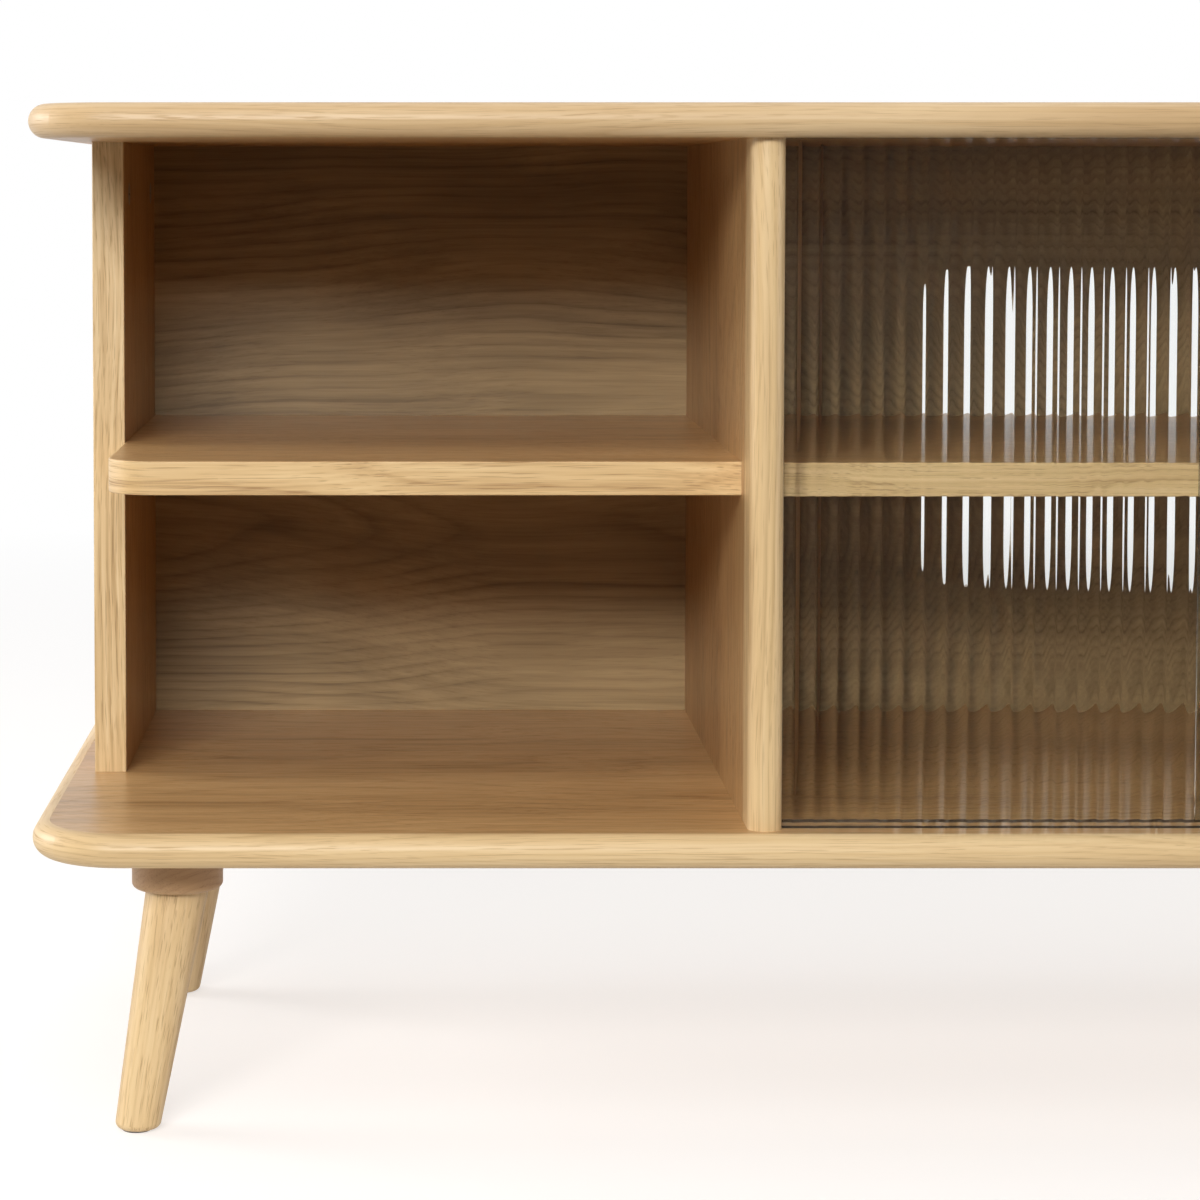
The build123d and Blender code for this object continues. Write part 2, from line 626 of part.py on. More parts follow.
# ---- door tracks -------------------------------------------------------------------------------
def track_liner(middle, base_z, depth, upward):
    """U-shaped plastic liner in a board's groove; upward is 1 if it opens upwards."""
    half = GROOVE_WIDTH / 2 - LINER_GAP
    length = TRACK_HALF - LINER_GAP
    mouth_z = base_z + upward * depth
    with BuildPart() as liner:
        block((-length, middle - half, base_z), (length, middle + half, mouth_z))
        slot = half - LINER_WALL
        slot_base = (-length, middle - slot, base_z + upward * LINER_BASE)
        block(slot_base, (length, middle + slot, mouth_z), Mode.SUBTRACT)
    return liner


for track_name, track_y in TRACKS.items():
    bottom_liner = track_liner(track_y, FLOOR_Z - BOTTOM_GROOVE, BOTTOM_GROOVE, 1)
    save(bottom_liner, f"bottom_{track_name}_track")
    top_liner = track_liner(track_y, CEILING_Z + TOP_GROOVE, TOP_GROOVE, -1)
    save(top_liner, f"top_{track_name}_track")


# ---- fluted glass doors ---------------------------------------------------------------------
def fluted_pane(x_low, middle):
    """Pane with a flat back and hollow flutes between narrow ridges on its front."""
    slope = math.asin(FLUTE_HALF / FLUTE_RADIUS)
    hollow_rise = FLUTE_RADIUS * (1 - math.cos(slope))
    ridge_half = RIDGE_RADIUS * math.sin(slope)
    ridge_drop = RIDGE_RADIUS * (1 - math.cos(slope))
    flank = FLUTE_PITCH / 2 - FLUTE_HALF - ridge_half
    crest = middle - GLASS / 2
    valley = crest + ridge_drop + flank * math.tan(slope) + hollow_rise
    back = middle + GLASS / 2
    x_high = x_low + PANE_WIDTH
    half_turn = FLUTE_RADIUS * math.sin(slope / 2)
    half_rise = FLUTE_RADIUS * (1 - math.cos(slope / 2))
    with BuildPart() as pane:
        with BuildSketch(Plane.XY.offset(PANE_LOW)):
            with BuildLine():
                for number in range(FLUTE_COUNT):
                    left = x_low + number * FLUTE_PITCH
                    ridge = left + FLUTE_PITCH / 2
                    right = left + FLUTE_PITCH
                    ThreePointArc((left, valley), (left + half_turn, valley - half_rise),
                                  (left + FLUTE_HALF, valley - hollow_rise))
                    Line((left + FLUTE_HALF, valley - hollow_rise),
                         (ridge - ridge_half, crest + ridge_drop))
                    ThreePointArc((ridge - ridge_half, crest + ridge_drop), (ridge, crest),
                                  (ridge + ridge_half, crest + ridge_drop))
                    Line((ridge + ridge_half, crest + ridge_drop),
                         (right - FLUTE_HALF, valley - hollow_rise))
                    ThreePointArc((right - FLUTE_HALF, valley - hollow_rise),
                                  (right - half_turn, valley - half_rise), (right, valley))
                Polyline((x_high, valley), (x_high, back), (x_low, back), (x_low, valley))
            make_face()
        extrude(amount=PANE_HIGH - PANE_LOW)
    return pane


save(fluted_pane(-TRACK_HALF, FRONT_TRACK), "left_glass_door")
save(fluted_pane(TRACK_HALF - PANE_WIDTH, REAR_TRACK), "right_glass_door")

print(f"size {WIDTH:.0f} x {DEPTH:.0f} x {TOP_Z:.0f} mm")
free_travel = 2 * TRACK_HALF - PANE_WIDTH
print(f"pane {PANE_WIDTH:.1f} wide, {PANE_HIGH - PANE_LOW:.1f} tall, free travel {free_travel:.1f}")
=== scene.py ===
"""Looks of the media cabinet: oak, fluted glass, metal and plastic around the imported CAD."""
import math

import bpy
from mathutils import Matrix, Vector

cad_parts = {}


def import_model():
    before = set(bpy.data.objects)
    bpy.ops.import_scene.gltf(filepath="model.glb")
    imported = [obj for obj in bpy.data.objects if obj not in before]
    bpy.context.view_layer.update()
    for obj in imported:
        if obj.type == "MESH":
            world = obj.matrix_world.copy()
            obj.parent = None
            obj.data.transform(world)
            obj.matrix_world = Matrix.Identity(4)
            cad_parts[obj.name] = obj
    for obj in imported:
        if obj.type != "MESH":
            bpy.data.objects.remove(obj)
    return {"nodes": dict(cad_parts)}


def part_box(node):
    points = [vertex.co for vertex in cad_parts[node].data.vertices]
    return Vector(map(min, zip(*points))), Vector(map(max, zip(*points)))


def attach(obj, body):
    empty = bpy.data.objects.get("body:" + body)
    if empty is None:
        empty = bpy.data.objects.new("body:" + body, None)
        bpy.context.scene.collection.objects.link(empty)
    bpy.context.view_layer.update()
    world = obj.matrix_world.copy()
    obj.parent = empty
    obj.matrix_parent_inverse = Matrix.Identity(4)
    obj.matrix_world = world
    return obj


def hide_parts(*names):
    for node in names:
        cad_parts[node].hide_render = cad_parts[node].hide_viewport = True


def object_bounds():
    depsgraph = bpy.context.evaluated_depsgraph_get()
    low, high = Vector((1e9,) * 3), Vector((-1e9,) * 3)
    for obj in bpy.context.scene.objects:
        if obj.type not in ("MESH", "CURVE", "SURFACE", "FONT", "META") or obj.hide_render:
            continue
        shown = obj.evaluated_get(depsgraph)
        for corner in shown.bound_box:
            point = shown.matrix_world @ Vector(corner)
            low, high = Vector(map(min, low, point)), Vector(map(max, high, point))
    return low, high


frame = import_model()
cad_low, cad_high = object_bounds()

X_AXIS, Z_AXIS = Vector((1, 0, 0)), Vector((0, 0, 1))


# ---- node helpers ------------------------------------------------------------------------
class Nodes:
    """A node tree, with short calls for the nodes that the patterns are made of."""

    def __init__(self, tree):
        self.tree = tree

    def add(self, kind, **settings):
        node = self.tree.nodes.new(kind)
        for key, value in settings.items():
            setattr(node, key, value)
        return node

    def wire(self, source, target):
        if isinstance(source, bpy.types.NodeSocket):
            self.tree.links.new(source, target)
        else:
            target.default_value = source

    def fed(self, kind, values, **settings):
        """New node whose first inputs are set to, or linked with, the values."""
        node = self.add(kind, **settings)
        for socket, value in zip(node.inputs, values):
            self.wire(value, socket)
        return node

    def math(self, operation, *values):
        return self.fed("ShaderNodeMath", values, operation=operation).outputs[0]

    def split(self, source):
        return self.fed("ShaderNodeSeparateXYZ", (source,)).outputs

    def join(self, *values):
        return self.fed("ShaderNodeCombineXYZ", values).outputs[0]

    def vector(self, operation, *values):
        node = self.fed("ShaderNodeVectorMath", values, operation=operation)
        return node.outputs["Value" if operation == "LENGTH" else "Vector"]

    def mapping(self, source, scale=(1, 1, 1), rotation=(0, 0, 0), location=(0, 0, 0)):
        node = self.add("ShaderNodeMapping")
        self.wire(source, node.inputs["Vector"])
        node.inputs["Scale"].default_value = scale
        node.inputs["Rotation"].default_value = rotation
        node.inputs["Location"].default_value = location
        return node.outputs[0]

    def noise(self, source, scale, detail=2.0, roughness=0.5):
        """Noise whose three frequencies, in cells per metre, are given by scale."""
        node = self.add("ShaderNodeTexNoise")
        self.wire(self.mapping(source, scale=scale), node.inputs["Vector"])
        node.inputs["Scale"].default_value = 1.0
        node.inputs["Detail"].default_value = detail
        node.inputs["Roughness"].default_value = roughness
        return node

    def span(self, value, low, high, to_low=0.0, to_high=1.0):
        """Straight map of a value from one range to another, held at both ends."""
        node = self.add("ShaderNodeMapRange", interpolation_type="LINEAR", clamp=True)
        for key, item in zip(("Value", "From Min", "From Max", "To Min", "To Max"),
                             (value, low, high, to_low, to_high)):
            self.wire(item, node.inputs[key])
        return node.outputs[0]

    def ramp(self, value, stops):
        node = self.add("ShaderNodeValToRGB")
        self.wire(value, node.inputs[0])
        points = node.color_ramp.elements
        while len(points) < len(stops):
            points.new(0.5)
        for point, (position, colour) in zip(points, stops):
            point.position = position
            point.color = (*colour, 1.0)
        return node.outputs[0]

    def mix(self, factor, first, second, blend="MIX"):
        node = self.add("ShaderNodeMix", data_type="RGBA", blend_type=blend)
        self.wire(factor, node.inputs[0])
        for socket, colour in zip((node.inputs[6], node.inputs[7]), (first, second)):
            linked = isinstance(colour, bpy.types.NodeSocket)
            self.wire(colour if linked else (*colour, 1.0), socket)
        return node.outputs[2]

    def mix_shader(self, factor, first, second):
        return self.fed("ShaderNodeMixShader", (factor, first, second)).outputs[0]


class Shader(Nodes):
    """One node material: a Principled shader, patterned in the object's own coordinates."""

    def __init__(self, name):
        self.material = bpy.data.materials.new(name)
        self.material.use_nodes = True
        super().__init__(self.material.node_tree)
        self.tree.nodes.clear()
        self.out = self.add("ShaderNodeOutputMaterial")
        self.surface = self.add("ShaderNodeBsdfPrincipled")
        self.wire(self.surface.outputs[0], self.out.inputs["Surface"])
        self.place = self.add("ShaderNodeTexCoord").outputs["Object"]

    def bump(self, height, distance, strength=1.0):
        node = self.add("ShaderNodeBump")
        self.wire(height, node.inputs["Height"])
        node.inputs["Strength"].default_value = strength
        node.inputs["Distance"].default_value = distance
        self.wire(node.outputs[0], self.surface.inputs["Normal"])

    def set(self, **values):
        for key, value in values.items():
            self.wire(value, self.surface.inputs[key.replace("_", " ")])


# ---- oak ---------------------------------------------------------------------------------
# Tones of each cut, from dark to light.
# Veneer tones: the veneer is darker than the solid lipping, and darker still as painted shade of
# the bays' insides.
VENEER_TONES_AND_BAY_SHADE = ((0.350, 0.192, 0.074), (0.545, 0.325, 0.138), (0.670, 0.425, 0.196))
# Back panel tones: darker than the other veneer as painted shade of the bays' recessed backs, on
# top of the veneer's own colour.
BACK_TONES_AND_PAINTED_SHADE = ((0.205, 0.134, 0.060), (0.385, 0.268, 0.130), (0.560, 0.405, 0.210))
SOLID_TONES = ((0.550, 0.365, 0.170), (0.740, 0.532, 0.280), (0.845, 0.650, 0.380))
# Top lipping tones: the same lipping oak as the bottom board's, painted darker as shade on the top
# board's lipping.
SHADED_LIPPING_TONES = ((0.490, 0.315, 0.150), (0.630, 0.435, 0.230), (0.740, 0.550, 0.320))
EDGE_TONES = ((0.500, 0.305, 0.130), (0.700, 0.475, 0.228), (0.800, 0.575, 0.300))
# Collar tones: darker wood, and darker still as painted shade under the bottom board.
COLLAR_TONES_AND_PAINTED_SHADE = ((0.370, 0.215, 0.103), (0.485, 0.295, 0.147), (0.565, 0.360, 0.190))
PORE_TINT = (0.46, 0.36, 0.27)

# Cells per metre of the oak patterns: along the grain, and the two ways across it.
SWAY, WOBBLE, PRESENCE = (1.7, 4.5, 4.5), (11.0, 55.0, 55.0), (3.2, 38.0, 38.0)
FIBRE, STREAK, CLOUD = (5.5, 420.0, 420.0), (1.8, 120.0, 120.0), (2.2, 14.0, 14.0)
CELLS = (30.0, 1500.0, 1500.0)
NOISE_RANGE, CLOUD_RANGE = (0.30, 0.70), (0.32, 0.68)
PRESENCE_RANGE, RING_SHARE = (0.36, 0.64), (0.25, 1.25)
RING_MEAN = 0.62          # mean of the tone across one growth ring
RING_PROFILE = ((0.0, 0.55), (0.07, 0.0), (0.30, RING_MEAN), (0.75, 1.0), (1.0, 0.55))
WOBBLE_SHARE = 0.8        # how far the rings wobble, in ring pitches
STREAK_SHARE = 0.8        # streaks against fibres
PORE_RANGE = (0.60, 0.70)
EARLY_WOOD, EARLY_PORES = 0.40, 0.05      # share of a ring, and the pores it gains
PORE_ROUGHNESS = 0.25     # added where a pore is open
FIBRE_RELIEF, PORE_RELIEF, RELIEF = 0.35, 1.6, 0.00014
SEED_STEP = 1.37          # metres along the log from one seed to the next
MIDDLE_BLEND = 0.06       # half the width over which left and right coordinates meet


def wrapped(s, reach, corner, back=False):
    """Coordinates that run round a rounded corner: along the edge, into the piece and up.

    reach is how far the piece goes from the two middle planes, and corner its plan radius.
    """
    x, y, z = s.split(s.place)
    side = s.span(x, -MIDDLE_BLEND, MIDDLE_BLEND, -1.0, 1.0)
    turned = s.math("MULTIPLY_ADD", y, -1.0 if back else 1.0, reach[1])
    along = s.math("MULTIPLY_ADD", side, turned, x)
    past = [s.math("SUBTRACT", s.math("ABSOLUTE", way), far - corner)
            for way, far in zip((x, y), reach)]
    outward = s.join(*(s.math("MAXIMUM", value, 0.0) for value in past))
    return s.join(along, s.vector("LENGTH", outward), z)


def oak(name, grain, seed, tones, heart, pitch, rings, fibres, clouds, pores, gloss,
        figure=0.035, wrap=None):
    """Oak sawn from one log: growth rings round a pith line, fibre streaks and open pores.

    grain is the log's direction, heart the pith's offset across it and pitch the width of a
    ring. Slow noise bends the rings by figure, which draws arches where a face cuts them at a
    low angle, and lets them fade in and out; the fibres follow the same bend. rings, fibres,
    clouds and pores weigh the four patterns. wrap holds what wrapped() needs, for a piece with
    a round corner.
    """
    s = Shader(name)
    turn = Vector(grain).normalized().rotation_difference(X_AXIS).to_euler()
    place = wrapped(s, *wrap) if wrap else s.place
    log = s.mapping(place, rotation=turn, location=(seed * SEED_STEP, heart[0], heart[1]))
    sway = s.noise(log, SWAY, detail=2.0, roughness=0.45)
    wobble = s.noise(log, WOBBLE, detail=2.0)
    bend = s.math("MULTIPLY", s.math("SUBTRACT", sway.outputs[0], 0.5), figure * 2)
    radius = s.math("ADD", s.vector("LENGTH", s.mapping(log, scale=(0, 1, 1))), bend)
    shake = s.math("MULTIPLY", s.math("SUBTRACT", wobble.outputs[0], 0.5), pitch * WOBBLE_SHARE)
    radius = s.math("ADD", radius, shake)
    log = s.vector("ADD", log, s.join(0.0, bend, bend))
    ring = s.math("FRACT", s.math("DIVIDE", radius, pitch))
    ring_tone = s.ramp(ring, [(position, (grey,) * 3) for position, grey in RING_PROFILE])
    presence = s.noise(log, PRESENCE, detail=2.0, roughness=0.6)
    ring_share = s.span(presence.outputs[0], *PRESENCE_RANGE, *RING_SHARE)
    ring_part = s.math("MULTIPLY", s.math("SUBTRACT", ring_tone, RING_MEAN),
                       s.math("MULTIPLY", ring_share, rings))
    fibre = s.noise(log, FIBRE, detail=3.0, roughness=0.60)
    streak = s.noise(log, STREAK, detail=3.0, roughness=0.60)
    cloud = s.noise(log, CLOUD, detail=3.0, roughness=0.55)
    streaks = STREAK_SHARE * fibres
    tone = ring_part
    for noise, reach, dark, light in ((fibre, NOISE_RANGE, 0.5 - fibres, 0.5 + fibres),
                                      (streak, NOISE_RANGE, -streaks, streaks),
                                      (cloud, CLOUD_RANGE, -clouds, clouds)):
        tone = s.math("ADD", tone, s.span(noise.outputs[0], *reach, dark, light))
    colour = s.ramp(tone, ((0.0, tones[0]), (0.5, tones[1]), (1.0, tones[2])))
    cells = s.noise(log, CELLS, detail=1.0, roughness=0.4)
    early = s.span(ring, 0.0, EARLY_WOOD, EARLY_PORES, 0.0)
    pore = s.span(s.math("ADD", cells.outputs[0], early), *PORE_RANGE)
    colour = s.mix(s.math("MULTIPLY", pore, pores), colour,
                   s.mix(1.0, colour, PORE_TINT, "MULTIPLY"))
    s.set(Base_Color=colour, Roughness=s.span(pore, 0.0, 1.0, gloss, gloss + PORE_ROUGHNESS))
    s.surface.inputs["Specular IOR Level"].default_value = 0.5
    height = s.math("SUBTRACT", s.math("MULTIPLY", fibre.outputs[0], FIBRE_RELIEF),
                    s.math("MULTIPLY", pore, pores * PORE_RELIEF))
    s.bump(height, RELIEF, 0.6)
    return s.material


def paint(node, material):
    frame["nodes"][node].material_slots[0].material = material


FOOT_RADIUS = 0.0133      # of a leg, at the floor


def leg_axis(node):
    """Direction of a leg, from the foot to the collar above it."""
    low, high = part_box(node)
    side, end = (1 if low.x > 0 else -1), (1 if low.y > 0 else -1)
    foot = Vector((high.x if side > 0 else low.x, high.y if end > 0 else low.y, low.z))
    collar_low, collar_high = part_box(node.replace("_leg", "_collar"))
    top = (collar_low + collar_high) / 2
    foot -= Vector((side, end, 0)) * FOOT_RADIUS
    return Vector((top.x, top.y, collar_low.z)) - foot


BOARD_CORNER, SHELF_CORNER = 0.055, 0.029      # plan radii
SMOOTH = {"rings": 0.30, "fibres": 0.12, "clouds": 0.34, "pores": 0.30, "gloss": 0.40}
SAWN = {"rings": 0.42, "fibres": 0.34, "clouds": 0.16, "pores": 0.45, "gloss": 0.42}
VENEER = {"rings": 0.26, "fibres": 0.20, "clouds": 0.22, "pores": 0.30, "gloss": 0.33}
BACK_VENEER = dict(VENEER, rings=0.34, fibres=0.13, clouds=0.36, pores=0.18)
TURNED = dict(SMOOTH, pores=0.50, fibres=0.20)

# Seed of the log that each kind of piece is cut from.
BOARD_LOG, LIPPING_LOG, UPRIGHT_LOG, FRONT_STRIP_LOG = 3.1, 7.3, 11.9, 17.3
SHELF_LOG, SHELF_EDGE_LOG, BACK_LOG, LEG_LOG, COLLAR_LOG = 23.7, 27.1, 31.9, 41.3, 47.7
BACK_LOG_STEP = 1.7
COLLAR_GRAIN = (1.0, 0.45, 0.25)

for i, node in enumerate(("top_panel", "bottom_panel")):
    paint(node, oak("oak_" + node, X_AXIS, BOARD_LOG + i, VENEER_TONES_AND_BAY_SHADE,
                    heart=(0.02, -0.55 - 0.02 * i), pitch=0.0040, **VENEER))
# The top lipping takes the painted-shade tones, the bottom lipping the oak's own.
for board, shift, tones in (("top", 0.0, SHADED_LIPPING_TONES), ("bottom", 2.0, SOLID_TONES)):
    reach = (cad_high.x, cad_high.y)
    for edge in ("front", "back", "left", "right"):
        node = f"{board}_{edge}_lipping"
        paint(node, oak("oak_" + node, X_AXIS, LIPPING_LOG + shift, tones,
                        heart=(-0.13, -0.47), pitch=0.0034, figure=0.022,
                        wrap=(reach, BOARD_CORNER, edge == "back"), **SMOOTH))
for i, side in enumerate(("left", "right")):
    for node in (f"{side}_side_panel", f"{side}_divider_panel"):
        paint(node, oak("oak_" + node, Z_AXIS, UPRIGHT_LOG + i + len(node), VENEER_TONES_AND_BAY_SHADE,
                        heart=(0.05, 0.03), pitch=0.0042, **VENEER))
    for node, finish in ((f"{side}_side_edging", SAWN), (f"{side}_divider_nosing", SMOOTH)):
        paint(node, oak("oak_" + node, Z_AXIS, FRONT_STRIP_LOG + i + len(node), SOLID_TONES,
                        heart=(0.11, 0.06), pitch=0.0040, **finish))
for i, node in enumerate(("left_shelf", "centre_shelf", "right_shelf")):
    paint(node, oak("oak_" + node, X_AXIS, SHELF_LOG + i, VENEER_TONES_AND_BAY_SHADE,
                    heart=(0.02, -0.36), pitch=0.0040, **VENEER))
    edge_low, edge_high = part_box(node + "_edging")
    reach = (max(edge_high.x, -edge_low.x), -edge_low.y)
    wrap = None if node == "centre_shelf" else (reach, SHELF_CORNER)
    paint(node + "_edging", oak("oak_" + node + "_edging", X_AXIS, SHELF_EDGE_LOG + i, EDGE_TONES,
                                heart=(0.20, -0.385), pitch=0.0034, wrap=wrap, **SAWN))
for i, node in enumerate(("left_back_panel", "centre_back_panel", "right_back_panel")):
    paint(node, oak("oak_" + node, X_AXIS, BACK_LOG + BACK_LOG_STEP * i, BACK_TONES_AND_PAINTED_SHADE,
                    heart=(-0.16, -0.33), pitch=0.0075, figure=0.055, **BACK_VENEER))
for i, (end, side) in enumerate((e, s) for e in ("front", "back") for s in ("left", "right")):
    leg, collar = f"{end}_{side}_leg", f"{end}_{side}_collar"
    paint(leg, oak("oak_" + leg, leg_axis(leg), LEG_LOG + i, SOLID_TONES,
                   heart=(0.03, 0.02), pitch=0.0048, figure=0.012, **TURNED))
    paint(collar, oak("oak_" + collar, COLLAR_GRAIN, COLLAR_LOG + i, COLLAR_TONES_AND_PAINTED_SHADE,
                      heart=(0.05, 0.02), pitch=0.0040, figure=0.012, **SMOOTH))


# ---- small parts -------------------------------------------------------------------------
# Cells per metre of the small parts' patterns.
BEECH_FLECK, BEECH_BODY = (90.0, 700.0, 700.0), (12.0, 160.0, 160.0)
BEECH_DARK, BEECH_LIGHT, FLECK_TONE = (0.52, 0.34, 0.19), (0.68, 0.48, 0.30), (0.30, 0.17, 0.09)
METAL_GRIT, METAL_CLOUD = (900.0,) * 3, (110.0,) * 3
PLASTIC_SPARK, PLASTIC_CLOUD = (2200.0,) * 3, (35.0,) * 3


def beech(name, grain, seed):
    """Pale, even wood with short flecks, for the dowels."""
    s = Shader(name)
    turn = Vector(grain).normalized().rotation_difference(X_AXIS).to_euler()
    log = s.mapping(s.place, rotation=turn, location=(seed, 0.1, 0.2))
    fleck = s.noise(log, BEECH_FLECK, detail=2.0)
    body = s.noise(log, BEECH_BODY, detail=3.0)
    colour = s.ramp(body.outputs[0], ((0.3, BEECH_DARK), (0.7, BEECH_LIGHT)))
    dark = s.span(fleck.outputs[0], 0.60, 0.68)
    s.set(Base_Color=s.mix(s.math("MULTIPLY", dark, 0.45), colour, FLECK_TONE),
          Roughness=s.span(body.outputs[0], 0.3, 0.7, 0.45, 0.60))
    s.bump(body.outputs[0], 0.0001)
    return s.material


def metal(name, light, dark, rough):
    """Plated or cast metal with fine grit and a slightly uneven sheen."""
    s = Shader(name)
    grit = s.noise(s.place, METAL_GRIT, detail=3.0, roughness=0.6)
    cloud = s.noise(s.place, METAL_CLOUD, detail=2.0)
    s.set(Base_Color=s.ramp(cloud.outputs[0], ((0.35, dark), (0.65, light))),
          Roughness=s.span(grit.outputs[0], 0.3, 0.7, rough - 0.08, rough + 0.12))
    s.surface.inputs["Metallic"].default_value = 1.0
    s.bump(grit.outputs[0], 0.00004, 0.5)
    return s.material


def plastic(name, light, dark, rough):
    """Moulded plastic with a fine spark texture."""
    s = Shader(name)
    spark = s.noise(s.place, PLASTIC_SPARK, detail=2.0)
    cloud = s.noise(s.place, PLASTIC_CLOUD, detail=2.0)
    s.set(Base_Color=s.ramp(cloud.outputs[0], ((0.3, dark), (0.7, light))),
          Roughness=s.span(spark.outputs[0], 0.3, 0.7, rough - 0.06, rough + 0.10))
    s.bump(spark.outputs[0], 0.00005, 0.6)
    return s.material


steel = metal("zinc_plated_steel", (0.70, 0.71, 0.72), (0.52, 0.53, 0.55), 0.30)
zinc = metal("zinc_cast_cam", (0.62, 0.62, 0.61), (0.46, 0.46, 0.46), 0.42)
track_brown = plastic("track_liner_brown", (0.075, 0.045, 0.026), (0.052, 0.031, 0.018), 0.42)
glide_grey = plastic("glide_nylon_grey", (0.20, 0.19, 0.18), (0.14, 0.13, 0.125), 0.50)

for node in ("threaded_inserts", "hanger_bolts", "collar_screws", "cam_bolts", "panel_screws",
             "back_panel_screws"):
    paint(node, steel)
paint("cam_housings", zinc)
paint("panel_dowels", beech("beech_panel_dowels", Z_AXIS, 2.0))
paint("shelf_dowels", beech("beech_shelf_dowels", X_AXIS, 5.0))
paint("foot_glides", glide_grey)
for board in ("top", "bottom"):
    for row in ("front", "rear"):
        paint(f"{board}_{row}_track", track_brown)


# ---- fluted glass ------------------------------------------------------------------------
FLUTES = 22
RIDGE_RADIUS, HOLLOW_RADIUS, HOLLOW_HALF = 0.003, 0.011, 0.0041
RIDGE_STEPS, FLANK_STEPS, HOLLOW_STEPS = 6, 3, 12      # mesh steps over half a flute
SHARP_ANGLE = math.radians(30)
GLASS_WAVE, GLASS_HAZE = (26.0, 26.0, 7.0), (60.0, 60.0, 14.0)      # cells per metre
GLASS_TINTS = ((0.945, 0.965, 0.955), (0.975, 0.985, 0.98))
SHADOW_TINT = (0.60, 0.61, 0.60)      # light that a lamp's ray keeps through the pane
GLASS_IOR = 1.50


def flute_profile(pitch):
    """Half a flute from ridge crest to hollow bottom: distance from the crest and depth."""
    slope = math.asin(HOLLOW_HALF / HOLLOW_RADIUS)
    ridge_half = RIDGE_RADIUS * math.sin(slope)
    points = [(RIDGE_RADIUS * math.sin(slope * i / RIDGE_STEPS),
               RIDGE_RADIUS * (1 - math.cos(slope * i / RIDGE_STEPS))) for i in range(RIDGE_STEPS)]
    ridge_drop = RIDGE_RADIUS * (1 - math.cos(slope))
    flank = pitch / 2 - HOLLOW_HALF - ridge_half
    points += [(ridge_half + flank * i / FLANK_STEPS,
                ridge_drop + flank * math.tan(slope) * i / FLANK_STEPS) for i in range(FLANK_STEPS)]
    bottom = ridge_drop + flank * math.tan(slope) + HOLLOW_RADIUS * (1 - math.cos(slope))
    for i in range(HOLLOW_STEPS + 1):
        angle = slope * (1 - i / HOLLOW_STEPS)
        points.append((pitch / 2 - HOLLOW_RADIUS * math.sin(angle),
                       bottom - HOLLOW_RADIUS * (1 - math.cos(angle))))
    return points


def fluted_pane(name, node, body, material):
    """Glass pane in a CAD pane's box, with vertical flutes on its front and a flat back."""
    low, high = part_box(node)
    pitch = (high.x - low.x) / FLUTES
    half = flute_profile(pitch)
    across = []
    for i in range(FLUTES):
        crest = low.x + pitch * (i + 0.5)
        left = [(crest - d, low.y + depth) for d, depth in reversed(half)]
        right = [(crest + d, low.y + depth) for d, depth in half[1:]]
        across += (left if i == 0 else left[1:]) + right
    verts, faces = [], []
    for z in (low.z, high.z):
        verts += [(x, y, z) for x, y in across]
        verts += [(x, high.y, z) for x, _ in across]
    count = len(across)
    for i in range(count - 1):
        faces.append((i, i + 1, 2 * count + i + 1, 2 * count + i))
        faces.append((count + i + 1, count + i, 3 * count + i, 3 * count + i + 1))
        faces.append((i + 1, i, count + i, count + i + 1))
        faces.append((2 * count + i, 2 * count + i + 1, 3 * count + i + 1, 3 * count + i))
    faces.append((0, 2 * count, 3 * count, count))
    faces.append((count - 1, 2 * count - 1, 4 * count - 1, 3 * count - 1))
    mesh = bpy.data.meshes.new(name)
    mesh.from_pydata(verts, [], faces)
    mesh.materials.append(material)
    mesh.shade_smooth()
    mesh.set_sharp_from_angle(angle=SHARP_ANGLE)
    pane = bpy.data.objects.new(name, mesh)
    bpy.context.scene.collection.objects.link(pane)
    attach(pane, body)
    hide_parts(node)


def glass(name):
    """Clear glass with a rolled pane's faint waves and haze, which lamps shine through."""
    s = Shader(name)
    wave = s.noise(s.place, GLASS_WAVE, detail=1.0)
    haze = s.noise(s.place, GLASS_HAZE, detail=2.0)
    s.set(Base_Color=s.ramp(haze.outputs[0], tuple(zip((0.3, 0.7), GLASS_TINTS))),
          Roughness=s.span(haze.outputs[0], 0.3, 0.7, 0.0, 0.03))
    s.surface.inputs["Transmission Weight"].default_value = 1.0
    s.surface.inputs["IOR"].default_value = GLASS_IOR
    s.bump(wave.outputs[0], 0.0002, 0.25)
    clear = s.add("ShaderNodeBsdfTransparent")
    clear.inputs[0].default_value = (*SHADOW_TINT, 1.0)
    shadow = s.add("ShaderNodeLightPath").outputs["Is Shadow Ray"]
    blend = s.mix_shader(shadow, s.surface.outputs[0], clear.outputs[0])
    s.wire(blend, s.out.inputs["Surface"])
    return s.material


pane_glass = glass("fluted_clear_glass")
fluted_pane("left_fluted_pane", "left_glass_door", "left_door", pane_glass)
fluted_pane("right_fluted_pane", "right_glass_door", "right_door", pane_glass)


# ---- floor, world, lights and camera -----------------------------------------------------
FLOOR_HALF = 40.0
FLOOR_TONES = ((0.50, 0.485, 0.475), (0.51, 0.495, 0.485))
FLOOR_CLOUD, FLOOR_GRAIN = (1.5,) * 3, (300.0,) * 3      # cells per metre
